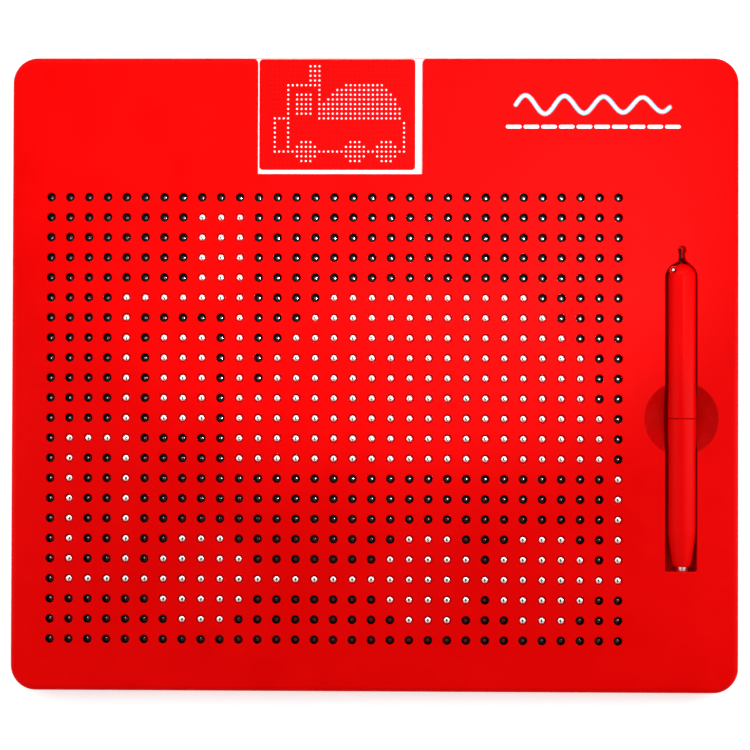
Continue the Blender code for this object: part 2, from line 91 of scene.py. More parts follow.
# Back cover
COVER_RIM_Z = 3.0
COVER_RIM_CHAMFER = 0.2
COVER_FLOOR_TOP_Z = 1.6
COVER_EDGE_R = 1.0
COVER_EDGE_STEPS = 5
LIP_GAP = 0.3
LIP_THICK = 1.3
LIP_TOP_Z = 4.6
RIB_LOW_Z = 1.2
RIB_HALF = 1
LONG_RIB_TOP_Z = 3.7
LONG_RIB_PLACES_Y = (-95.0, -19.3, 56.0)
CROSS_RIB_TOP_Z = 3.6
CROSS_RIB_PLACES_X = (-110.0, -17.6, 75.0)

# Bead field, from two of the beads that the frame holds
FIRST_BEAD = node_box("bead_r01_c06")
LAST_BEAD = node_box("bead_r05_c11")
COLUMNS = 31
ROWS = 23
PITCH_X = (LAST_BEAD[0].x - FIRST_BEAD[0].x) / 5
PITCH_Y = (FIRST_BEAD[0].y - LAST_BEAD[0].y) / 4
CELL_0_X = (FIRST_BEAD[0].x + FIRST_BEAD[1].x) / 2 - 6 * PITCH_X
CELL_0_Y = (FIRST_BEAD[0].y + FIRST_BEAD[1].y) / 2 + PITCH_Y
BEAD_R = 2.4
BEAD_SIDES = 20
BEAD_RINGS = 14
BEAD_DOWN_Z = (FIRST_BEAD[0].z + FIRST_BEAD[1].z) / 2
BEAD_UP_Z = (node_box("beads_up")[0].z + node_box("beads_up")[1].z) / 2
HOLE_R = 1.9
HOLE_RIM = 0.28
HOLE_RIM_DEEP = 0.8
HOLE_RIM_STEPS = 3
HOLE_SIDES = 24
CELL_R = 2.65
CELL_CHAMFER = 0.5
CELL_FLOOR_Z = 4.7
CELL_SIDES = 20

# Card pocket and notch
POCKET_GAP = 0.4
POCKET_WALL = 1.5
POCKET_END_WALL = 1.7
POCKET_FLOOR_Z = 10.7
POCKET_BLOCK_LOW_Z = 9.5
NOTCH_LEFT_X = -51.1
NOTCH_RIGHT_X = 20.8
NOTCH_LOW_Y = 87.5
NOTCH_MOUTH_R = 2.7
RIM_R = 0.3
RIM_STEPS = 4

# Stylus slot, keyhole and finger dish
SLOT_LEFT_X = 126.7
SLOT_RIGHT_X = 140.7
SLOT_LOW_Y = -85.6
SLOT_HIGH_Y = 49.3
SLOT_CORNER_R = 1.0
SLOT_FLOOR_Z = 3.1
SLOT_NECK_RIGHT = [(137.1, 48.7), (136.5, 49.15), (136.05, 49.6), (135.7, 50.15), (135.45, 50.6)]
SLOT_NECK_LEFT = [(132.45, 50.75), (132.25, 50.15), (131.95, 49.6)]
TROUGH_WALL = 1.5
TROUGH_LOW_Z = 1.9
TROUGH_HIGH_Y = 52.7
SHAFT_HIGH_Y = 51.2
KEY_X = 133.9
KEY_Y = 54.5
KEY_R = 1.85
NECK_HALF = 1.35
KEY_FLOOR_Z = 8.8
KEY_BLOCK_LEFT_X = 130.4
KEY_BLOCK_RIGHT_X = 137.4
KEY_BLOCK_HIGH_Y = 58.1
KEY_BLOCK_LOW_Z = 7.0
ANCHOR_R = 0.65
DISH_X = 133.7
DISH_Y = -19.0
DISH_R = 16.3
DISH_BEVEL_R = 15.3
DISH_BEVEL_Z = 12.2
DISH_DEEP_Z = 6.6
DISH_STEPS = 16
DISH_BLOCK_R = 17.9
DISH_BLOCK_LOW_Z = 5.2

# Stylus
STYLUS_X = (FRONT_LOW.x + FRONT_HIGH.x) / 2
STYLUS_Z = (REAR_LOW.z + REAR_HIGH.z) / 2
STYLUS_PLACE = (STYLUS_X, 0, STYLUS_Z)
STYLUS_R = 6.1
STYLUS_SIDES = 64
DOME_CENTRE_Y = REAR_HIGH.y - STYLUS_R
DOME_STEPS = 16
SEAM_Y = -19.0
SEAM_HALF_GAP = 0.12
SEAM_BEVEL = 0.25
SPIGOT_R = 3.9
SPIGOT_BORE_R = 3.0
SPIGOT_BORE_END_Y = -66.0
BORE_R = 4.2
BORE_END_Y = 38.0
MAGNET_BORE_R = 2.85
MAGNET_BORE_END_Y = -70.0
MAGNET_R = 2.55
NOSE_Y = FRONT_LOW.y
NOSE = [(3.1, NOSE_Y), (3.55, NOSE_Y + 0.35), (3.85, NOSE_Y + 1.0), (4.3, -81.1), (4.75, -78.3)]
NOSE += [(5.25, -75.0), (5.7, -71.6), (6.0, -69.2), (STYLUS_R, -67.4)]
EYELET_X = (CRIMP_LOW.x + CRIMP_HIGH.x) / 2
EYELET_Y = (CRIMP_LOW.y + CRIMP_HIGH.y) / 2
EYELET_R = 0.62
EYELET_SEAT_R = 1.2
EYELET_SEAT_Z = 11.0
EYELET_SEAT_FLARE_Z = 13.0
EYELET_SEAT_TOP_Z = 17.0
LUG_R = 1.75
LUG_LOW_Z = 6.6
LUG_HIGH_Z = 12.4

# Tether cord: the places that the CAD cord passes, from the knot to the crimp
CORD_R = 0.35
ANCHOR_X = (KNOT_LOW.x + KNOT_HIGH.x) / 2
ANCHOR_Y = (KNOT_LOW.y + KNOT_HIGH.y) / 2
CORD_FIXED = [
    (ANCHOR_X, ANCHOR_Y, 7.1),
    (ANCHOR_X, ANCHOR_Y, 8.2),
    (133.42, 54.45, 9.25),
    (133.55, 53.7, 10.0),
    (133.75, 52.6, 10.3),
    (133.48, 51.3, 10.25),
    (133.35, 50.3, 9.85),
    (133.4, 49.45, 9.0),
    (133.4, 49.2, 7.8),
    (133.4, 49.2, 5.6),
    (133.6, 48.75, 4.3),
    (134.3, 47.9, 3.65),
    (135.8, 46.2, 3.55),
    (137.5, 43.9, 3.55),
    (138.6, 40.0, 3.55),
    (138.8, 30.0, 3.55),
    (138.4, 10.0, 3.55),
    (138.9, -12.0, 3.55),
    (138.5, -34.0, 3.55),
    (138.9, -55.0, 3.55),
    (138.8, -70.0, 3.55),
    (137.5, -75.4, 3.55),
    (134.3, -77.5, 3.55),
    (130.9, -75.6, 3.55),
    (129.5, -70.0, 3.55),
]
CORD_FREE = [
    (129.8, -52.0, 3.55),
    (129.4, -30.0, 3.55),
    (129.9, -8.0, 3.55),
    (129.7, 14.0, 3.55),
    (130.4, 32.0, 3.55),
    (EYELET_X, 41.5, 3.55),
    (EYELET_X, 43.9, 3.65),
    (EYELET_X, 45.2, 4.25),
    (EYELET_X, 45.74, 5.4),
    (EYELET_X, EYELET_Y, 8.0),
    (EYELET_X, EYELET_Y, 10.7),
]
STEPS_PER_PLACE = 14
CORD_SIDES = 10

# Screws
SCREW_NAMES = [f"screw_{number}" for number in range(1, 7)]
SCREW_HEAD_R = 2.5
SCREW_HEAD_HIGH = 1.7
SCREW_SHANK_R = 1.25
SCREW_ROOT_R = 1.0
SCREW_PITCH = 0.9
SCREW_POINT = 1.4
SCREW_RECESS = 0.9
SCREW_CROSS_ARM = 1.25
SCREW_CROSS_HALF = 0.28
SCREW_SEAT_R = 2.9
SCREW_SEAT_CHAMFER = 0.3
SCREW_SEAT_Z = 2.4
SCREW_CLEAR_R = 1.65
BOSS_R = 3.25
BOSS_LOW_Z = 4.3
PILOT_R = 1.6
PILOT_TOP_Z = 10.4
WELL_R = 4.2
WELL_TOP_Z = 4.0


# ---------------------------------------------------------------- camera, lights and floor

CAMERA_DISTANCE = 1.0
CAMERA_TARGET = (0.0004, -0.0003, PAD_TOP_Z * MM)
CAMERA_LEAN_X = 0.0197
CAMERA_LEAN_Y = -0.0131
CAMERA_ROLL = math.radians(0.17)
VIEW_WIDTH = 0.3271
SENSOR = 36.0
FLOOR_GLOW = 0.5
WORLD_STRENGTH = 0.8
ZENITH_CLEAR = 0.86
ZENITH_DARK = 0.91
ZENITH_SHARE = 0.02
GAP_HALF = 0.12
GAP_FADE = 0.12
GAP_SHARE = 0.15
HORIZON_LOW = 0.1
HORIZON_HIGH = 0.45
HORIZON_SHARE = 0.35

# Each softbox's place, aim and size in metres, and its power in watts
SOFTBOXES = {
    "softbox_far": ((0.0, 0.42, 0.44), (0.0, 0.06, 0.0), (0.8, 0.3), 1.45),
    "softbox_left": ((-0.34, -0.03, 0.16), (-0.08, -0.03, 0.0), (0.1, 0.5), 0.3),
    "softbox_right": ((0.34, -0.03, 0.16), (0.08, -0.03, 0.0), (0.1, 0.5), 0.5),
}
LAMP_PLACE = (0.28, 0.0, 0.85)
LAMP_AIM = (0.0, 0.115, 0.0)
LAMP_POWER = 22.0
LAMP_CONE = math.radians(25.0)
LAMP_R = 0.012


def make_camera():
    """Almost straight above the pad, with a slight lean and roll."""
    data = bpy.data.cameras.new("camera")
    data.sensor_width = SENSOR
    data.lens = SENSOR * CAMERA_DISTANCE / VIEW_WIDTH
    data.clip_start = 0.01
    data.clip_end = 50.0
    obj = bpy.data.objects.new("camera", data)
    bpy.context.scene.collection.objects.link(obj)
    back = Vector((CAMERA_LEAN_X, CAMERA_LEAN_Y, 1.0)).normalized()
    up = Vector((-math.sin(CAMERA_ROLL), math.cos(CAMERA_ROLL), 0.0))
    right = up.cross(back).normalized()
    up = back.cross(right)
    turn = Matrix((right, up, back)).transposed()
    obj.matrix_world = Matrix.Translation(Vector(CAMERA_TARGET) + back * CAMERA_DISTANCE) @ turn.to_4x4()
    bpy.context.scene.camera = obj


def hang_light(name, data, place, aim):
    obj = bpy.data.objects.new(name, data)
    obj.location = place
    obj.rotation_euler = (Vector(aim) - Vector(place)).to_track_quat("-Z", "Y").to_euler()
    obj.visible_camera = False
    bpy.context.scene.collection.objects.link(obj)


def softbox(name, place, aim, size, power):
    data = bpy.data.lights.new(name, "AREA")
    data.shape = "RECTANGLE"
    data.size, data.size_y = size
    data.energy = power
    hang_light(name, data, place, aim)


def key_lamp():
    """A small lamp whose beam fades towards its edge."""
    data = bpy.data.lights.new("key_lamp", "SPOT")
    data.energy = LAMP_POWER
    data.spot_size = LAMP_CONE
    data.spot_blend = 1.0
    data.shadow_soft_size = LAMP_R
    hang_light("key_lamp", data, LAMP_PLACE, LAMP_AIM)


def ramp_node(tree, value, low, high, first, last):
    """Maps a value from low..high onto first..last."""
    node = tree.nodes.new("ShaderNodeMapRange")
    for socket, number in zip(("From Min", "From Max", "To Min", "To Max"), (low, high, first, last)):
        node.inputs[socket].default_value = number
    tree.links.new(value, node.inputs["Value"])
    return node.outputs["Result"]


def math_node(tree, operation, *values):
    """Each value is a number or another node's output."""
    node = tree.nodes.new("ShaderNodeMath")
    node.operation = operation
    for socket, value in zip(node.inputs, values):
        if isinstance(value, (int, float)):
            socket.default_value = value
        else:
            tree.links.new(value, socket)
    return node.outputs["Value"]


def make_world():
    """A white studio, dark overhead, where the camera's stand is, and dimmer in a narrow gap to the south."""
    world = bpy.data.worlds.new("studio")
    world.use_nodes = True
    tree = world.node_tree
    place = tree.nodes.new("ShaderNodeTexCoord").outputs["Generated"]
    split = tree.nodes.new("ShaderNodeSeparateXYZ")
    tree.links.new(place, split.inputs["Vector"])
    aside = math_node(tree, "ABSOLUTE", split.outputs["X"])
    overhead = ramp_node(tree, split.outputs["Z"], ZENITH_CLEAR, ZENITH_DARK, 1.0, ZENITH_SHARE)
    sides = ramp_node(tree, aside, GAP_HALF, GAP_HALF + GAP_FADE, GAP_SHARE, 1.0)
    northern = ramp_node(tree, split.outputs["Y"], -GAP_FADE, 0.0, 0.0, 1.0)
    horizon = ramp_node(tree, split.outputs["Z"], HORIZON_LOW, HORIZON_HIGH, HORIZON_SHARE, 1.0)
    open_sky = math_node(tree, "MAXIMUM", sides, northern)
    strength = math_node(tree, "MULTIPLY", math_node(tree, "MULTIPLY", overhead, open_sky), horizon)
    strength = math_node(tree, "MULTIPLY", strength, WORLD_STRENGTH)
    background = tree.nodes["Background"]
    background.inputs["Color"].default_value = (1.0, 1.0, 1.0, 1.0)
    tree.links.new(strength, background.inputs["Strength"])
    bpy.context.scene.world = world


def make_lights():
    for name, (place, aim, size, power) in SOFTBOXES.items():
        softbox(name, place, aim, size, power)
    key_lamp()
    make_world()
    bpy.context.scene.view_settings.view_transform = "Standard"


# ---------------------------------------------------------------- meshes

def arc(centre, radius, start, end, steps):
    """Points on a circle from one angle to another, in degrees."""
    angles = [math.radians(start + (end - start) * i / steps) for i in range(steps + 1)]
    return [(centre[0] + radius * math.cos(a), centre[1] + radius * math.sin(a)) for a in angles]


def new_object(name, points, faces):
    """An object from points in millimetres and faces."""
    mesh = bpy.data.meshes.new(name)
    mesh.from_pydata((np.asarray(points, float) * MM).tolist(), [], faces)
    mesh.validate()
    obj = bpy.data.objects.new(name, mesh)
    bpy.context.scene.collection.objects.link(obj)
    return obj


def ring_faces(levels, count, first=0):
    """The quads between each ring of points and the next one."""
    faces = []
    for level in range(levels - 1):
        low = first + level * count
        for i in range(count):
            j = (i + 1) % count
            faces.append((low + i, low + j, low + count + j, low + count + i))
    return faces


def loft(name, rings):
    """A closed solid through rings that run counterclockwise seen from above, lowest ring first."""
    count = len(rings[0])
    points = [p for ring in rings for p in ring]
    last = (len(rings) - 1) * count
    faces = [tuple(range(count - 1, -1, -1))] + ring_faces(len(rings), count)
    faces.append(tuple(range(last, last + count)))
    return new_object(name, points, faces)


def prism(name, outline, low_z, high_z):
    return loft(name, [[(x, y, z) for x, y in outline] for z in (low_z, high_z)])


def box(name, low, high):
    outline = [(low[0], low[1]), (high[0], low[1]), (high[0], high[1]), (low[0], high[1])]
    return prism(name, outline, low[2], high[2])


def lathe_mesh(profile, sides):
    """Points and faces of a profile of (radius, height) turned about Z; a radius of 0 is a pole."""
    points = []
    rings = []
    for radius, height in profile:
        if radius == 0:
            rings.append([len(points)] * sides)
            points.append((0.0, 0.0, height))
            continue
        rings.append(list(range(len(points), len(points) + sides)))
        for i in range(sides):
            a = math.tau * i / sides
            points.append((radius * math.cos(a), radius * math.sin(a), height))
    faces = []
    for low, high in zip(rings, rings[1:]):
        for i in range(sides):
            j = (i + 1) % sides
            face = [low[i], low[j], high[j], high[i]]
            faces.append(tuple(dict.fromkeys(face)))
    return np.array(points), faces


def lathe(name, profile, sides, place, along_y=False):
    points, faces = lathe_mesh(profile, sides)
    if along_y:
        points = np.stack([points[:, 0], points[:, 2], -points[:, 1]], axis=1)
    return new_object(name, points + np.array(place), faces)


def copies(name, points, faces, places):
    """One object with the same closed mesh at each place."""
    count = len(points)
    everywhere = (np.array(places)[:, None, :] + points[None, :, :]).reshape(-1, 3)
    repeated = []
    for number in range(len(places)):
        start = number * count
        repeated += [tuple(start + i for i in face) for face in faces]
    return new_object(name, everywhere, repeated)


def combine(obj, other, operation):
    """Applies a Boolean with the other object, which is then removed."""
    modifier = obj.modifiers.new(other.name, "BOOLEAN")
    modifier.operation = operation
    modifier.solver = "MANIFOLD"
    modifier.object = other
    bpy.context.view_layer.update()
    mesh = bpy.data.meshes.new_from_object(obj.evaluated_get(bpy.context.evaluated_depsgraph_get()))
    obj.modifiers.clear()
    obj.data = mesh
    bpy.data.objects.remove(other)


def cut(obj, *others):
    for other in others:
        combine(obj, other, "DIFFERENCE")


def add(obj, *others):
    for other in others:
        combine(obj, other, "UNION")


def shade(obj, angle=35):
    """Smooth shading, with sharp edges at corners and around every flat level face."""
    mesh = obj.data
    mesh.shade_smooth()
    mesh.set_sharp_from_angle(angle=math.radians(angle))
    work = bmesh.new()
    work.from_mesh(mesh)
    for edge in work.edges:
        if len(edge.link_faces) == 2:
            level = [abs(face.normal.z) > 0.99999 for face in edge.link_faces]
            if level[0] != level[1]:
                edge.smooth = False
    work.to_mesh(mesh)
    work.free()


def offset_outline(outline, distance):
    """The outline moved outwards by the distance, with mitred corners."""
    moved = []
    count = len(outline)
    for i in range(count):
        before = Vector(outline[i - 1])
        here = Vector(outline[i])
        after = Vector(outline[(i + 1) % count])
        first = (here - before).normalized()
        second = (after - here).normalized()
        side = Vector((first.y + second.y, -first.x - second.x)).normalized()
        stretch = max(0.4, side.dot(Vector((first.y, -first.x))))
        point = here + side * (distance / stretch)
        moved.append((point.x, point.y))
    return moved


def flared_cutter(name, outline, low_z):
    """A cutter that opens with a rounded rim at the pad's top."""
    rings = [[(x, y, low_z) for x, y in outline]]
    for step in range(RIM_STEPS + 1):
        a = math.radians(90 * step / RIM_STEPS)
        ring = offset_outline(outline, RIM_R * (1 - math.cos(a))) if step else outline
        z = PAD_TOP_Z - RIM_R + RIM_R * math.sin(a)
        rings.append([(x, y, z) for x, y in ring])
    rings.append([(x, y, PAD_TOP_Z + 2) for x, y in ring])
    return loft(name, rings)


# ---------------------------------------------------------------- materials

RED_DARK = (0.76, 0.0006, 0.0006)
RED_LIGHT = (0.82, 0.001, 0.001)
# Darker red inside the finger dish: painted shade in the recessed bowl
DISH_SHADE_RED = (0.46, 0.0004, 0.0004)


class Nodes:
    """A Principled material's node tree, with short calls for the textures on it."""

    def __init__(self, name, colour, roughness, metallic=0.0, specular=0.5):
        self.material = bpy.data.materials.new(name)
        self.material.use_nodes = True
        self.tree = self.material.node_tree
        self.shader = self.tree.nodes["Principled BSDF"]
        self.set("Base Color", (*colour, 1.0))
        self.set("Roughness", roughness)
        self.set("Metallic", metallic)
        self.set("Specular IOR Level", specular)
        self.place = self.tree.nodes.new("ShaderNodeTexCoord").outputs["Object"]

    def set(self, socket, value):
        self.shader.inputs[socket].default_value = value

    def stretched(self, scale):
        node = self.tree.nodes.new("ShaderNodeMapping")
        node.inputs["Scale"].default_value = scale
        self.tree.links.new(self.place, node.inputs["Vector"])
        return node.outputs["Vector"]

    def noise(self, scale, detail=2.0, vector=None, rough=0.5):
        node = self.tree.nodes.new("ShaderNodeTexNoise")
        node.inputs["Scale"].default_value = scale
        node.inputs["Detail"].default_value = detail
        node.inputs["Roughness"].default_value = rough
        self.tree.links.new(vector or self.place, node.inputs["Vector"])
        return node.outputs["Fac"]

    def ramp(self, value, low, high, first, last):
        return ramp_node(self.tree, value, low, high, first, last)

    def colours(self, value, first, last, low=0.0, high=1.0):
        node = self.tree.nodes.new("ShaderNodeValToRGB")
        node.color_ramp.elements[0].position = low
        node.color_ramp.elements[0].color = (*first, 1.0)
        node.color_ramp.elements[1].position = high
        node.color_ramp.elements[1].color = (*last, 1.0)
        self.tree.links.new(value, node.inputs["Fac"])
        return node.outputs["Color"]

    def math(self, operation, a, b):
        return math_node(self.tree, operation, a, b)

    def vector_math(self, operation, vector, other=(0.0, 0.0, 0.0)):
        node = self.tree.nodes.new("ShaderNodeVectorMath")
        node.operation = operation
        node.inputs[1].default_value = other
        self.tree.links.new(vector, node.inputs[0])
        return node.outputs["Value" if operation == "LENGTH" else "Vector"]

    def bump(self, height, strength, distance):
        node = self.tree.nodes.new("ShaderNodeBump")
        node.inputs["Strength"].default_value = strength
        node.inputs["Distance"].default_value = distance
        self.tree.links.new(height, node.inputs["Height"])
        self.link(node.outputs["Normal"], "Normal")

    def link(self, output, socket):
        self.tree.links.new(output, self.shader.inputs[socket])


def moulded_plastic(name, dark, light, roughness=0.42, specular=0.03):
    """Injection-moulded plastic: a faint cloudiness, fine grain, and hairline scratches."""
    made = Nodes(name, light, roughness, specular=specular)
    cloud = made.noise(38.0, 3.0)
    made.link(made.colours(cloud, dark, light, 0.32, 0.68), "Base Color")
    grain = made.noise(5200.0, 2.0)
    scratches = made.noise(1.0, 4.0, made.stretched((90.0, 2600.0, 900.0)), 0.6)
    gloss = made.ramp(cloud, 0.3, 0.7, roughness - 0.05, roughness + 0.05)
    worn = made.ramp(scratches, 0.66, 0.74, 0.0, 0.12)
    made.link(made.math("ADD", gloss, worn), "Roughness")
    height = made.math("ADD", grain, made.math("MULTIPLY", scratches, 0.5))
    made.bump(height, 0.12, 0.00002)
    return made


def shell_plastic():
    """The pad's plastic, with darker red painted inside the finger dish as painted shade, mottled at random.
    """
    made = moulded_plastic("red_shell_plastic", RED_DARK, RED_LIGHT)
    from_dish = made.vector_math("SUBTRACT", made.place, (DISH_X * MM, DISH_Y * MM, 0.0))
    reach = made.vector_math("LENGTH", made.vector_math("MULTIPLY", from_dish, (1.0, 1.0, 0.0)))
    radius = (DISH_R - 0.05) * MM
    inside = made.ramp(reach, radius - 0.0002, radius, 1.0, 0.0)
    level = made.tree.nodes.new("ShaderNodeSeparateXYZ")
    made.tree.links.new(made.place, level.inputs["Vector"])
    below = made.ramp(level.outputs["Z"], (PAD_TOP_Z - 0.02) * MM, (PAD_TOP_Z - 0.06) * MM, 0.0, 1.0)
    above = made.ramp(level.outputs["Z"], DISH_DEEP_Z * MM - 0.0002, DISH_DEEP_Z * MM, 0.0, 1.0)
    # Where the dish's painted shade goes: inside its rim, below the pad's top and above its floor
    dish_shade_mask = made.math("MULTIPLY", made.math("MULTIPLY", inside, below), above)
    mottle = made.ramp(made.noise(420.0, 3.0), 0.3, 0.7, 0.75, 1.0)
    mix = made.tree.nodes.new("ShaderNodeMix")
    mix.data_type = "RGBA"
    made.tree.links.new(made.math("MULTIPLY", dish_shade_mask, mottle), mix.inputs["Factor"])
    plain = made.shader.inputs["Base Color"].links[0].from_socket
    made.tree.links.new(plain, mix.inputs[6])
    mix.inputs[7].default_value = (*DISH_SHADE_RED, 1.0)
    made.link(mix.outputs[2], "Base Color")
    return made.material


def black_plastic():
    made = Nodes("black_tray_plastic", (0.008, 0.009, 0.009), 0.55, specular=0.2)
    cloud = made.noise(60.0, 3.0)
    made.link(made.colours(cloud, (0.004, 0.005, 0.004), (0.011, 0.012, 0.011), 0.3, 0.7), "Base Color")
    made.link(made.ramp(cloud, 0.3, 0.7, 0.5, 0.65), "Roughness")
    made.bump(made.noise(3000.0, 2.0), 0.2, 0.00003)
    return made.material


def bead_steel():
    """Tumbled steel: bright, with faint pits and patches of duller finish."""
    made = Nodes("bead_steel", (0.96, 0.96, 0.94), 0.24, metallic=1.0)
    patches = made.noise(700.0, 3.0)
    made.link(made.colours(patches, (0.92, 0.92, 0.89), (0.98, 0.98, 0.96), 0.3, 0.7), "Base Color")
    made.link(made.ramp(patches, 0.3, 0.7, 0.16, 0.26), "Roughness")
    made.bump(made.noise(4200.0, 2.0), 0.05, 0.00002)
    return made.material


def turned_steel(name, colour, roughness):
    """Machined metal with fine rings of tool marks."""
    made = Nodes(name, colour, roughness, metallic=1.0)
    marks = made.noise(1.0, 2.0, made.stretched((500.0, 9000.0, 500.0)))
    dim = tuple(0.8 * c for c in colour)
    made.link(made.colours(marks, dim, colour, 0.3, 0.7), "Base Color")
    made.link(made.ramp(marks, 0.3, 0.7, roughness - 0.06, roughness + 0.08), "Roughness")
    made.bump(marks, 0.15, 0.00003)
    return made.material


def card_paper():
    made = Nodes("card_paper", (0.9, 0.9, 0.89), 0.6, specular=0.25)
    fibres = made.noise(1.0, 4.0, made.stretched((900.0, 3200.0, 900.0)), 0.65)
    made.link(made.colours(fibres, (0.86, 0.86, 0.85), (0.94, 0.94, 0.93), 0.3, 0.7), "Base Color")
    made.link(made.ramp(fibres, 0.3, 0.7, 0.5, 0.65), "Roughness")
    made.bump(fibres, 0.25, 0.00003)
    return made.material


def printed_ink(name, dark, light, roughness=0.4):
    """Ink on the card: the paper's fibres show through it a little."""
    made = Nodes(name, light, roughness, specular=0.03)
    fibres = made.noise(1.0, 4.0, made.stretched((900.0, 3200.0, 900.0)), 0.65)
    made.link(made.colours(fibres, dark, light, 0.3, 0.7), "Base Color")
    made.link(made.ramp(fibres, 0.3, 0.7, roughness - 0.06, roughness + 0.06), "Roughness")
    made.bump(fibres, 0.12, 0.00002)
    return made.material


def braided_thread():
    made = Nodes("black_braid", (0.006, 0.006, 0.007), 0.7, specular=0.15)
    weave = made.noise(2600.0, 2.0)
    colour = made.colours(weave, (0.002, 0.002, 0.002), (0.016, 0.016, 0.018), 0.35, 0.65)
    made.link(colour, "Base Color")
    made.link(made.ramp(weave, 0.3, 0.7, 0.6, 0.85), "Roughness")
    made.bump(weave, 0.6, 0.0001)
    return made.material


def floor_paper():
    made = Nodes("studio_floor", (0.95, 0.95, 0.95), 0.9, specular=0.0)
    grain = made.noise(40.0, 3.0)
    made.link(made.colours(grain, (0.8, 0.93, 0.93), (0.82, 0.95, 0.95), 0.3, 0.7), "Base Color")
    made.set("Emission Color", (1.0, 1.0, 1.0, 1.0))
    made.set("Emission Strength", FLOOR_GLOW)
    return made.material


def paint(obj, material):
    obj.data.materials.clear()
    obj.data.materials.append(material)


# ---------------------------------------------------------------- the pad

def pad_ring(inset, z):
    """The pad's outline at a height, moved inwards by inset."""
    radius = max(0.5, CORNER_R - inset)
    reach_x = PAD_HALF_X - inset - radius
    reach_y = PAD_HALF_Y - inset - radius
    ring = []
    for side_x, side_y, start in ((1, -1, 270), (1, 1, 0), (-1, 1, 90), (-1, -1, 180)):
        centre = (side_x * reach_x, side_y * reach_y)
        ring += [(x, y, z) for x, y in arc(centre, radius, start, start + 90, CORNER_STEPS)]
    return ring


def cell_xy(column, row):
    return CELL_0_X + column * PITCH_X, CELL_0_Y - row * PITCH_Y


def all_cells():
    return [(column, row) for row in range(ROWS) for column in range(COLUMNS)]


def hole_cutter():
    """A rounded-rim hole cutter at each cell."""
    profile = [(0, SKIN_UNDER_Z - 1), (HOLE_R, SKIN_UNDER_Z - 1)]
    for step in range(HOLE_RIM_STEPS + 1):
        a = math.radians(90 * step / HOLE_RIM_STEPS)
        z = PAD_TOP_Z - HOLE_RIM_DEEP * (1 - math.sin(a))
        profile.append((HOLE_R + HOLE_RIM * (1 - math.cos(a)), z))
    profile += [(HOLE_R + HOLE_RIM, PAD_TOP_Z + 1), (0, PAD_TOP_Z + 1)]
    points, faces = lathe_mesh(profile, HOLE_SIDES)
    return copies("hole_cutter", points, faces, [(*cell_xy(*cell), 0.0) for cell in all_cells()])


def slot_outline():
    half = (SLOT_RIGHT_X - SLOT_LEFT_X) / 2
    centre = (SLOT_LEFT_X + half, SLOT_HIGH_Y - half)
    corner_y = SLOT_LOW_Y + SLOT_CORNER_R
    outline = arc((SLOT_LEFT_X + SLOT_CORNER_R, corner_y), SLOT_CORNER_R, 180, 270, 6)
    outline += arc((SLOT_RIGHT_X - SLOT_CORNER_R, corner_y), SLOT_CORNER_R, 270, 360, 6)
    outline += arc(centre, half, 0, 52, 14) + SLOT_NECK_RIGHT
    outline += [(KEY_X + NECK_HALF, SHAFT_HIGH_Y), (KEY_X - NECK_HALF, SHAFT_HIGH_Y)]
    return outline + SLOT_NECK_LEFT + arc(centre, half, 110, 180, 18)


def keyhole_outline():
    start = -math.degrees(math.acos(NECK_HALF / KEY_R))
    outline = [(KEY_X - NECK_HALF, SHAFT_HIGH_Y - 0.4), (KEY_X + NECK_HALF, SHAFT_HIGH_Y - 0.4)]
    return outline + arc((KEY_X, KEY_Y), KEY_R, start, 180 - start, 28)


def notch_outline():
    outside = PAD_HALF_Y + 5
    turn_y = PAD_HALF_Y - NOTCH_MOUTH_R
    right = arc((NOTCH_RIGHT_X + NOTCH_MOUTH_R, turn_y), NOTCH_MOUTH_R, 180, 90, 12)
    left = arc((NOTCH_LEFT_X - NOTCH_MOUTH_R, turn_y), NOTCH_MOUTH_R, 90, 0, 12)
    outline = [(NOTCH_LEFT_X, NOTCH_LOW_Y), (NOTCH_RIGHT_X, NOTCH_LOW_Y)] + right
    outline += [(right[-1][0] + 0.3, outside), (left[0][0] - 0.3, outside)]
    return outline + left


def dish_profile():
    """The dish cutter, from its deepest point up the bowl and the rounded rim into clear air."""
    deep = DISH_BEVEL_Z - DISH_DEEP_Z
    sphere_r = (DISH_BEVEL_R**2 + deep**2) / (2 * deep)
    profile = []
    for step in range(DISH_STEPS + 1):
        r = DISH_BEVEL_R * step / DISH_STEPS
        profile.append((r, DISH_DEEP_Z + sphere_r - math.sqrt(sphere_r**2 - r**2)))
    profile += [(DISH_R - 0.25, PAD_TOP_Z - 0.14), (DISH_R, PAD_TOP_Z - 0.02)]
    return profile + [(DISH_R + 0.15, PAD_TOP_Z + 1), (0, PAD_TOP_Z + 1)]


def cylinder(name, centre, radius, low_z, high_z, sides=40):
    profile = [(0, low_z), (radius, low_z), (radius, high_z), (0, high_z)]
    return lathe(name, profile, sides, (centre[0], centre[1], 0))


def screw_places():
    places = []
    for name in SCREW_NAMES:
        low, high = node_box(name)
        places.append(((low.x + high.x) / 2, (low.y + high.y) / 2))
    return places


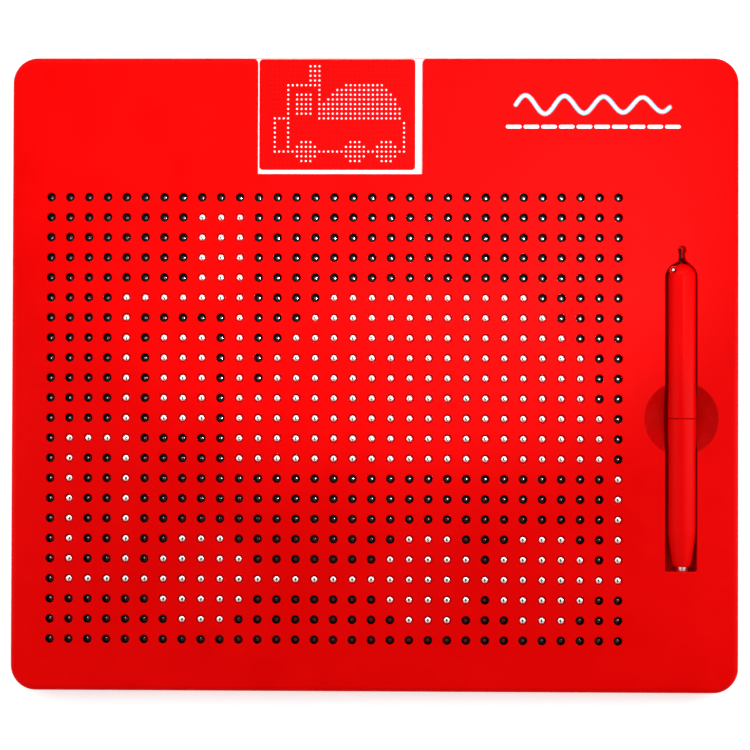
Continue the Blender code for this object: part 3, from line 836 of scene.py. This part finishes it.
def build_front_panel(plastic):
    low_z = PART_LINE_Z
    rings = [pad_ring(WALL, SKIN_UNDER_Z), pad_ring(WALL, low_z)]
    rings += [pad_ring(PART_LINE_CHAMFER, low_z), pad_ring(0.0, low_z + PART_LINE_CHAMFER)]
    for step in range(EDGE_STEPS + 1):
        a = math.radians(90 * step / EDGE_STEPS)
        rings.append(pad_ring(EDGE_R * (1 - math.cos(a)), PAD_TOP_Z - EDGE_R * (1 - math.sin(a))))
    panel = loft("front_panel_shell", rings)
    into_skin = SKIN_UNDER_Z + WELD
    trough_low = (SLOT_LEFT_X - TROUGH_WALL, SLOT_LOW_Y - TROUGH_WALL, TROUGH_LOW_Z)
    key_low = (KEY_BLOCK_LEFT_X, TROUGH_HIGH_Y - 1, KEY_BLOCK_LOW_Z)
    pocket_low = (CARD_LOW.x - POCKET_GAP - POCKET_WALL, CARD_LOW.y - POCKET_END_WALL, POCKET_BLOCK_LOW_Z)
    pocket_high = (CARD_HIGH.x + POCKET_GAP + POCKET_WALL, PAD_HALF_Y - 1, into_skin)
    add(
        panel,
        box("trough_block", trough_low, (SLOT_RIGHT_X + TROUGH_WALL, TROUGH_HIGH_Y, into_skin)),
        box("key_block", key_low, (KEY_BLOCK_RIGHT_X, KEY_BLOCK_HIGH_Y, into_skin)),
        cylinder("dish_block", (DISH_X, DISH_Y), DISH_BLOCK_R, DISH_BLOCK_LOW_Z, into_skin, 64),
        box("pocket_block", pocket_low, pocket_high),
    )
    for place in screw_places():
        add(panel, cylinder("boss", place, BOSS_R, BOSS_LOW_Z, into_skin))
    pocket = box(
        "pocket_cut",
        (CARD_LOW.x - POCKET_GAP, CARD_LOW.y - POCKET_GAP, POCKET_FLOOR_Z),
        (CARD_HIGH.x + POCKET_GAP, PAD_HALF_Y + 5, SKIN_UNDER_Z),
    )
    cut(
        panel,
        flared_cutter("slot_cut", slot_outline(), SLOT_FLOOR_Z),
        flared_cutter("keyhole_cut", keyhole_outline(), KEY_FLOOR_Z),
        cylinder("anchor_cut", (ANCHOR_X, ANCHOR_Y), ANCHOR_R, KEY_BLOCK_LOW_Z - 1, KEY_FLOOR_Z + 1, 20),
        lathe("dish_cut", dish_profile(), 96, (DISH_X, DISH_Y, 0)),
        pocket,
        flared_cutter("notch_cut", notch_outline(), POCKET_FLOOR_Z + 0.2),
        hole_cutter(),
    )
    for place in screw_places():
        cut(panel, cylinder("pilot", place, PILOT_R, BOSS_LOW_Z - 1, PILOT_TOP_Z, 24))
    shade(panel)
    paint(panel, plastic)
    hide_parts("front_panel")
    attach(panel, "pad")


def build_bead_tray():
    tray = box("bead_tray_cells", TRAY_LOW, TRAY_HIGH)
    profile = [(0, CELL_FLOOR_Z), (CELL_R - CELL_CHAMFER, CELL_FLOOR_Z)]
    profile += [(CELL_R, CELL_FLOOR_Z + CELL_CHAMFER), (CELL_R, TRAY_HIGH.z + 1), (0, TRAY_HIGH.z + 1)]
    points, faces = lathe_mesh(profile, CELL_SIDES)
    cut(tray, copies("cell_cutter", points, faces, [(*cell_xy(*cell), 0.0) for cell in all_cells()]))
    shade(tray)
    paint(tray, black_plastic())
    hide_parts("bead_tray")
    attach(tray, "pad")


def build_back_cover(plastic):
    """The cover, with its lip, ribs and screw wells."""
    lip_in = WALL + LIP_GAP
    rings = [
        pad_ring(lip_in + LIP_THICK, COVER_FLOOR_TOP_Z),
        pad_ring(lip_in + LIP_THICK, LIP_TOP_Z),
        pad_ring(lip_in, LIP_TOP_Z),
        pad_ring(lip_in, COVER_RIM_Z),
        pad_ring(COVER_RIM_CHAMFER, COVER_RIM_Z),
        pad_ring(0.0, COVER_RIM_Z - COVER_RIM_CHAMFER),
    ]
    for step in range(COVER_EDGE_STEPS + 1):
        a = math.radians(90 * step / COVER_EDGE_STEPS)
        rings.append(pad_ring(COVER_EDGE_R * (1 - math.cos(a)), COVER_EDGE_R * (1 - math.sin(a))))
    cover = loft("back_cover_shell", [ring[::-1] for ring in rings])
    left, high = cell_xy(0, 0)
    right, low = cell_xy(COLUMNS - 1, ROWS - 1)
    for y in LONG_RIB_PLACES_Y:
        add(cover, box("long_rib", (left, y - RIB_HALF, RIB_LOW_Z), (right, y + RIB_HALF, LONG_RIB_TOP_Z)))
    for x in CROSS_RIB_PLACES_X:
        add(cover, box("cross_rib", (x - RIB_HALF, low, RIB_LOW_Z), (x + RIB_HALF, high, CROSS_RIB_TOP_Z)))
    for place in screw_places():
        add(cover, cylinder("well", place, WELL_R, RIB_LOW_Z, WELL_TOP_Z))
    mouth_r = SCREW_SEAT_R + SCREW_SEAT_CHAMFER
    seat = [(0, -1), (mouth_r, -1), (mouth_r, 0), (SCREW_SEAT_R, SCREW_SEAT_CHAMFER)]
    seat += [(SCREW_SEAT_R, SCREW_SEAT_Z), (0, SCREW_SEAT_Z)]
    for place in screw_places():
        cut(cover, lathe("seat", seat, 40, (*place, 0)))
        cut(cover, cylinder("clear", place, SCREW_CLEAR_R, -1, WELL_TOP_Z + 1, 24))
    shade(cover)
    paint(cover, plastic)
    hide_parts("back_cover")
    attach(cover, "pad")


# ---------------------------------------------------------------- the dotted truck

LOAD_TOP_ROW = 5
WHEEL_ROW = 19
WHEEL_R = 2.3


def in_rectangle(column, row, columns, rows):
    return columns[0] <= column <= columns[1] and rows[0] <= row <= rows[1]


def is_truck_dot(column, row, look):
    """True where the picture of a lorry has a dot: cab, window, chimney, round load, chassis and wheels."""
    back = look["cab_back"]
    filled = [
        ((back - 2, back), (1, 4)),
        ((4, back), (5, 5)),
        ((4, 4), (5, 18)),
        ((back, back), (5, 11)),
        ((6, look["window_right"]), (7, 11)),
        ((1, 4), (12, 12)),
        ((1, 1), (12, 18)),
        ((back, 20), look["load_rows"]),
        ((1, 30), (WHEEL_ROW, WHEEL_ROW)),
        ((30, 30), (look["tail_top"], WHEEL_ROW)),
    ]
    if any(in_rectangle(column, row, columns, rows) for columns, rows in filled):
        return True
    middle, base, half, height = look["load"]
    in_load = math.hypot((column - middle) / half, (row - base) / height) <= 1
    if in_load and LOAD_TOP_ROW <= row <= base:
        return True
    return any(math.hypot(column - wheel, row - WHEEL_ROW) <= WHEEL_R for wheel in look["wheels"])


# Columns and rows of dots; a load is its middle column, lowest row, half width and height
BEAD_TRUCK = {
    "cab_back": 10,
    "window_right": 8,
    "load_rows": (10, 13),
    "load": (20.0, 13, 9.4, 9.6),
    "tail_top": 14,
    "wheels": (8, 20, 26),
}
CARD_TRUCK = {
    "cab_back": 11,
    "window_right": 9,
    "load_rows": (9, 12),
    "load": (20.6, 12, 8.9, 8.11),
    "tail_top": 13,
    "wheels": (8, 19, 26),
}


def ball_mesh(radius, sides, rings):
    profile = [(0, -radius)]
    for step in range(1, rings):
        a = math.radians(-90 + 180 * step / rings)
        profile.append((radius * math.cos(a), radius * math.sin(a)))
    return lathe_mesh(profile + [(0, radius)], sides)


def build_beads():
    """The beads that are nodes of their own, and the others in two groups, up and down."""
    steel = bead_steel()
    points, faces = ball_mesh(BEAD_R, BEAD_SIDES, BEAD_RINGS)
    spread = {"beads_up": [], "beads_down": []}
    for column, row in all_cells():
        up = is_truck_dot(column, row, BEAD_TRUCK)
        place = (*cell_xy(column, row), BEAD_UP_Z if up else BEAD_DOWN_Z)
        name = f"bead_r{row:02d}_c{column:02d}"
        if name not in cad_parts:
            spread["beads_up" if up else "beads_down"].append(place)
            continue
        ball = new_object(name + "_ball", points + np.array(place), faces)
        finish_beads(ball, steel, name)
    for body, places in spread.items():
        group = copies(body + "_balls", points, faces, places)
        finish_beads(group, steel, body)


def finish_beads(obj, steel, name):
    """The beads' node and the body that it belongs to share a name."""
    obj.data.shade_smooth()
    paint(obj, steel)
    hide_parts(name)
    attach(obj, name)


# ---------------------------------------------------------------- the picture card

PRINT_LEFT_X = -50.6
PRINT_RIGHT_X = 17.7
PRINT_LOW_Y = 89.35
PRINT_EDGE = 0.1
PRINT_CORNER_R = 1.6
DOT_0_X = -45.8
DOT_0_Y = 136.9
DOT_PITCH_X = 1.951
DOT_PITCH_Y = 2.077
DOT_R = 0.42
FAINT_DOT_R = 0.34
DOT_SIDES = 12
DOT_HIGH = 0.035
INK_HALF = 0.02
CARD_CORNER_R = 2.0


def rounded_rectangle(low, high, radius):
    """A counterclockwise outline between two corners."""
    outline = []
    for x, y, start in (
        (high[0] - radius, low[1] + radius, 270),
        (high[0] - radius, high[1] - radius, 0),
        (low[0] + radius, high[1] - radius, 90),
        (low[0] + radius, low[1] + radius, 180),
    ):
        outline += arc((x, y), radius, start, start + 90, 8)
    return outline


def build_card():
    """The card: a thin sheet with rounded corners, and the print on it."""
    outline = rounded_rectangle(CARD_LOW, CARD_HIGH, CARD_CORNER_R)
    card = prism("picture_card_sheet", outline, CARD_LOW.z, CARD_HIGH.z)
    shade(card)
    paint(card, card_paper())
    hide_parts("picture_card")
    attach(card, "card")
    build_print()


def build_print():
    """The red print and its dots, thin layers of ink on the card."""
    top = CARD_HIGH.z
    low = (PRINT_LEFT_X, PRINT_LOW_Y)
    high = (PRINT_RIGHT_X, CARD_HIGH.y - PRINT_EDGE)
    outline = rounded_rectangle(low, high, PRINT_CORNER_R)
    ground = prism("card_print", outline, top - INK_HALF, top + INK_HALF)
    paint(ground, printed_ink("print_red", (0.74, 0.001, 0.001), (0.84, 0.002, 0.002)))
    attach(ground, "card")
    bright = []
    faint = []
    for column, row in all_cells():
        place = (DOT_0_X + column * DOT_PITCH_X, DOT_0_Y - row * DOT_PITCH_Y, top)
        (bright if is_truck_dot(column, row, CARD_TRUCK) else faint).append(place)
    white = printed_ink("print_white", (0.85, 0.82, 0.8), (0.95, 0.93, 0.92))
    dark = printed_ink("print_dark_red", (0.42, 0.0, 0.0), (0.5, 0.0, 0.0))
    for name, radius, places, ink in (
        ("card_picture_dots", DOT_R, bright, white),
        ("card_faint_dots", FAINT_DOT_R, faint, dark),
    ):
        profile = [(0, 0.0), (radius, 0.0), (radius, DOT_HIGH), (0, DOT_HIGH)]
        points, faces = lathe_mesh(profile, DOT_SIDES)
        dots = copies(name, points, faces, places)
        paint(dots, ink)
        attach(dots, "card")


# ---------------------------------------------------------------- the painted doodle

DOODLE_LEFT_X = 61.5
DOODLE_RIGHT_X = 128.5
DOODLE_Y = 117.8
DOODLE_WAVE = 17.0
DOODLE_HIGH = 4.2
DOODLE_LOW = 3.0
DOODLE_STEPS = 150
DOODLE_HALF = 0.55
DOODLE_BORDER = 0.42
DASH_LEFT_X = 58.0
DASH_PITCH = 7.7
DASH_LONG = 5.2
DASH_Y = 108.2
DASH_HALF = 0.8
DASH_COUNT = 10
PAINT_SUNK = 0.02
PAINT_HIGH = 0.02
PAINT_OVER_BORDER = 0.04


def stroke_outline(route, half):
    """The outline of a brush stroke with round ends along a flat route."""
    left = []
    right = []
    for i, (x, y) in enumerate(route):
        before = route[max(i - 1, 0)]
        after = route[min(i + 1, len(route) - 1)]
        along = Vector((after[0] - before[0], after[1] - before[1])).normalized()
        left.append((x - along.y * half, y + along.x * half))
        right.append((x + along.y * half, y - along.x * half))
    first = math.degrees(math.atan2(left[0][1] - route[0][1], left[0][0] - route[0][0]))
    last = math.degrees(math.atan2(right[-1][1] - route[-1][1], right[-1][0] - route[-1][0]))
    start = arc(route[0], half, first, first + 180, 10)[1:-1]
    end = arc(route[-1], half, last, last + 180, 10)[1:-1]
    return right + end + left[::-1] + start


def build_doodle():
    """A plain painted wave and a dashed line, where such pads carry a title."""
    wave = []
    for step in range(DOODLE_STEPS + 1):
        t = step / DOODLE_STEPS
        x = DOODLE_LEFT_X + (DOODLE_RIGHT_X - DOODLE_LEFT_X) * t
        height = DOODLE_HIGH + (DOODLE_LOW - DOODLE_HIGH) * t
        wave.append((x, DOODLE_Y + height * math.sin(math.tau * (x - DOODLE_LEFT_X) / DOODLE_WAVE)))
    white = printed_ink("paint_white", (0.9, 0.9, 0.9), (0.96, 0.96, 0.96), 0.35)
    blue = printed_ink("paint_blue", (0.05, 0.42, 0.6), (0.09, 0.5, 0.7), 0.35)
    strokes = [
        ("painted_wave_border", wave, DOODLE_HALF + DOODLE_BORDER, PAINT_HIGH, blue),
        ("painted_wave", wave, DOODLE_HALF, PAINT_OVER_BORDER, white),
    ]
    for number in range(DASH_COUNT):
        x = DASH_LEFT_X + DASH_PITCH * number
        dash = [(x, DASH_Y), (x + DASH_LONG, DASH_Y)]
        strokes.append((f"painted_dash_{number + 1}", dash, DASH_HALF, PAINT_HIGH, white))
    for name, route, half, height, colour in strokes:
        outline = stroke_outline(route, half)
        stroke = prism(name, outline, PAD_TOP_Z - PAINT_SUNK, PAD_TOP_Z + height)
        paint(stroke, colour)
        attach(stroke, "pad")


# ---------------------------------------------------------------- the stylus

def build_stylus(plastic):
    build_rear_barrel(plastic)
    build_front_barrel(plastic)
    tip = [(0, MAGNET_LOW.y), (2.1, MAGNET_LOW.y), (2.4, MAGNET_LOW.y + 0.1), (MAGNET_R, MAGNET_LOW.y + 0.35)]
    tip += [(MAGNET_R, MAGNET_HIGH.y), (0, MAGNET_HIGH.y)]
    magnet = lathe("stylus_magnet_tip", tip, 48, STYLUS_PLACE, along_y=True)
    nickel = turned_steel("nickel_magnet", (0.82, 0.82, 0.8), 0.25)
    finish_stylus(magnet, nickel, "stylus_magnet")
    points, faces = ball_mesh((CRIMP_HIGH.x - CRIMP_LOW.x) / 2, 32, 20)
    crimp = new_object("cord_crimp_ball", points + np.array((CRIMP_LOW + CRIMP_HIGH) / 2), faces)
    bright = turned_steel("bright_crimp", (0.95, 0.95, 0.93), 0.18)
    finish_stylus(crimp, bright, "cord_crimp")


def build_rear_barrel(plastic):
    """The bored half with the domed end, the eyelet lug and the seat of the crimp in it."""
    end = SEAM_Y + SEAM_HALF_GAP
    rear = [(0, BORE_END_Y), (BORE_R, BORE_END_Y), (BORE_R, end), (STYLUS_R - SEAM_BEVEL, end)]
    rear += [(STYLUS_R, end + SEAM_BEVEL)]
    rear += [(r, y + DOME_CENTRE_Y) for r, y in arc((0, 0), STYLUS_R, 0, 90, DOME_STEPS)][:-1]
    barrel = lathe("stylus_rear_shell", rear + [(0, REAR_HIGH.y)], STYLUS_SIDES, STYLUS_PLACE, along_y=True)
    seat = [(0, EYELET_SEAT_Z), (EYELET_SEAT_R, EYELET_SEAT_Z), (EYELET_SEAT_R, EYELET_SEAT_FLARE_Z)]
    seat += [(EYELET_SEAT_R + 0.25, EYELET_SEAT_TOP_Z), (0, EYELET_SEAT_TOP_Z)]
    add(barrel, cylinder("eyelet_lug", (EYELET_X, EYELET_Y), LUG_R, LUG_LOW_Z, LUG_HIGH_Z, 48))
    cut(
        barrel,
        lathe("crimp_seat", seat, 32, (EYELET_X, EYELET_Y, 0)),
        cylinder("eyelet_hole", (EYELET_X, EYELET_Y), EYELET_R, 1.0, EYELET_SEAT_Z + 1, 20),
    )
    finish_stylus(barrel, plastic, "stylus_rear_barrel")


def build_front_barrel(plastic):
    """The half with the tapering nose round the magnet, and the hollow spigot that fits the rear half."""
    end = SEAM_Y - SEAM_HALF_GAP
    front = [(0, MAGNET_BORE_END_Y), (MAGNET_BORE_R, MAGNET_BORE_END_Y), (MAGNET_BORE_R, NOSE_Y)] + NOSE
    front += [(STYLUS_R, end - SEAM_BEVEL), (STYLUS_R - SEAM_BEVEL, end), (SPIGOT_R, end)]
    front += [(SPIGOT_R, FRONT_HIGH.y), (SPIGOT_BORE_R, FRONT_HIGH.y)]
    front += [(SPIGOT_BORE_R, SPIGOT_BORE_END_Y), (0, SPIGOT_BORE_END_Y)]
    barrel = lathe("stylus_front_shell", front, STYLUS_SIDES, STYLUS_PLACE, along_y=True)
    finish_stylus(barrel, plastic, "stylus_front_barrel")


def finish_stylus(obj, material, node):
    shade(obj)
    paint(obj, material)
    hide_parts(node)
    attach(obj, "stylus")


# ---------------------------------------------------------------- the tether

def smooth_through(places):
    """Closely spaced points of the centripetal Catmull-Rom curve through the places."""
    route = [Vector(p) for p in places]
    route = [2 * route[0] - route[1]] + route + [2 * route[-1] - route[-2]]
    points = [route[1]]
    for a, b, c, d in zip(route, route[1:], route[2:], route[3:]):
        t1 = (b - a).length ** 0.5
        t2 = t1 + (c - b).length ** 0.5
        t3 = t2 + (d - c).length ** 0.5
        for step in range(1, STEPS_PER_PLACE + 1):
            t = t1 + (t2 - t1) * step / STEPS_PER_PLACE
            ab = a.lerp(b, t / t1)
            bc = b.lerp(c, (t - t1) / (t2 - t1))
            cd = c.lerp(d, (t - t2) / (t3 - t2))
            near = ab.lerp(bc, t / t2)
            far = bc.lerp(cd, (t - t1) / (t3 - t1))
            points.append(near.lerp(far, (t - t1) / (t2 - t1)))
    return points


def tube(name, route, radius):
    """A round tube along the route, with flat ends."""
    rings = []
    side = Vector((1.0, 0.0, 0.0))
    for i, here in enumerate(route):
        along = (route[min(i + 1, len(route) - 1)] - route[max(i - 1, 0)]).normalized()
        side = (side - along * side.dot(along)).normalized()
        other = along.cross(side)
        for k in range(CORD_SIDES):
            a = math.tau * k / CORD_SIDES
            rings.append(here + radius * (math.cos(a) * side + math.sin(a) * other))
    last = (len(route) - 1) * CORD_SIDES
    faces = [tuple(range(CORD_SIDES - 1, -1, -1))] + ring_faces(len(route), CORD_SIDES)
    faces.append(tuple(range(last, last + CORD_SIDES)))
    obj = new_object(name, [tuple(p) for p in rings], faces)
    obj.data.shade_smooth()
    return obj


def build_cord():
    """The tether in two pieces: one lies in the slot, and one runs up to the stylus it ends in."""
    thread = braided_thread()
    whole = smooth_through(CORD_FIXED + CORD_FREE)
    split = (len(CORD_FIXED) - 1) * STEPS_PER_PLACE
    fixed = whole[: split + 1]
    free = whole[split:]
    lying = tube("tether_in_slot", fixed, CORD_R)
    paint(lying, thread)
    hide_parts("tether_cord")
    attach(lying, "pad")
    rising = tube("tether_to_stylus", free, CORD_R)
    paint(rising, thread)
    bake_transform(rising)
    knot = build_knot((KNOT_HIGH.x - KNOT_LOW.x) / 2)
    paint(knot, thread)
    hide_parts("cord_knot")
    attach(knot, "pad")


def build_knot(radius):
    """An overhand knot pulled tight: a lumpy ball of three crossing turns."""
    centre = (KNOT_LOW + KNOT_HIGH) / 2
    points, faces = ball_mesh(radius, 28, 20)
    lifted = []
    for x, y, z in points:
        turn = math.atan2(y, x)
        height = z / radius
        groove = 0.5 + 0.5 * math.cos(3 * turn + 4 * height)
        scale = 0.86 + 0.14 * groove
        lifted.append((x * scale, y * scale, z * (0.95 + 0.05 * groove)))
    knot = new_object("cord_knot_turns", np.array(lifted) + np.array(centre), faces)
    knot.data.shade_smooth()
    return knot


# ---------------------------------------------------------------- screws

def recess_outline(x, y):
    """A cross outline, counterclockwise, about a screw's axis."""
    arm, half = SCREW_CROSS_ARM, SCREW_CROSS_HALF
    outline = []
    for turn in range(4):
        a = math.radians(90 * turn)
        for u, v in ((arm, -half), (arm, half), (half, half)):
            across = x + u * math.cos(a) - v * math.sin(a)
            outline.append((across, y + u * math.sin(a) + v * math.cos(a)))
    return outline


def build_screws():
    """Pan-head screws with a cross recess and a ringed thread, seen from the back."""
    zinc = turned_steel("zinc_screw", (0.72, 0.73, 0.72), 0.35)
    for name, (x, y) in zip(SCREW_NAMES, screw_places()):
        low, high = node_box(name)
        head_top = low.z + SCREW_HEAD_HIGH
        profile = [(0, low.z), (SCREW_HEAD_R - 0.7, low.z), (SCREW_HEAD_R - 0.2, low.z + 0.2)]
        profile += [(SCREW_HEAD_R, low.z + 0.55), (SCREW_HEAD_R, head_top), (SCREW_SHANK_R, head_top)]
        z = head_top + 0.6
        while z < high.z - SCREW_POINT:
            profile += [(SCREW_ROOT_R, z), (SCREW_ROOT_R, z + 0.3), (SCREW_SHANK_R, z + 0.45)]
            z += SCREW_PITCH
        profile += [(SCREW_ROOT_R, z), (0.4, high.z - 0.1), (0, high.z)]
        screw = lathe(name + "_body", profile, 36, (x, y, 0))
        cut(screw, prism("recess", recess_outline(x, y), low.z - 1, low.z + SCREW_RECESS))
        shade(screw)
        paint(screw, zinc)
        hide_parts(name)
        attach(screw, "pad")


# ---------------------------------------------------------------- the floor

FLOOR_Z = -0.1
FLOOR_HALF = 9000


def build_floor():
    """A square of pale paper, just under the pad."""
    corners = [(x * FLOOR_HALF, y * FLOOR_HALF, FLOOR_Z) for x, y in ((-1, -1), (1, -1), (1, 1), (-1, 1))]
    floor = new_object("studio_floor", corners, [(0, 1, 2, 3)])
    floor.data.materials.append(floor_paper())


make_camera()
build_cord()
make_lights()
shell = shell_plastic()
build_front_panel(shell)
build_bead_tray()
build_back_cover(shell)
build_beads()
build_card()
build_doodle()
build_stylus(moulded_plastic("red_stylus_plastic", RED_DARK, RED_LIGHT, 0.38, 0.04).material)
build_screws()
build_floor()
